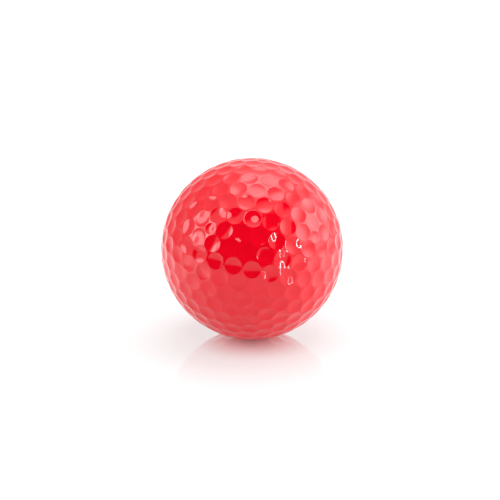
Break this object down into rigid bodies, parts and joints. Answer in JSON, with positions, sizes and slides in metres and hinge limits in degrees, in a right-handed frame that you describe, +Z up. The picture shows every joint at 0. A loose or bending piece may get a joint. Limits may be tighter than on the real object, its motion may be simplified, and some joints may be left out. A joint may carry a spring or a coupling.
{
  "type": "golf ball",
  "caption": "Dimpled golf ball in glossy red, a rubber core inside a hard mantle and a moulded cover, to stand on a tee and be hit with a club.",
  "frame": {"origin": "centre of the ball", "axes": "+Z up as the ball lies, -Y towards the front cover shell, +X to its right seen from the front"},
  "size_m": [0.0426, 0.0426, 0.0426],
  "materials": {
    "cover": "red urethane under a high-gloss clear coat",
    "mantle": "plain moulded ionomer, off-white",
    "core": "ground cured rubber, orange"
  },
  "bodies": {
    "root": {"cover_front_shell": "cover", "cover_rear_shell": "cover", "mantle_upper_shell": "mantle", "mantle_lower_shell": "mantle", "core": "core"}
  },
  "joints": []
}
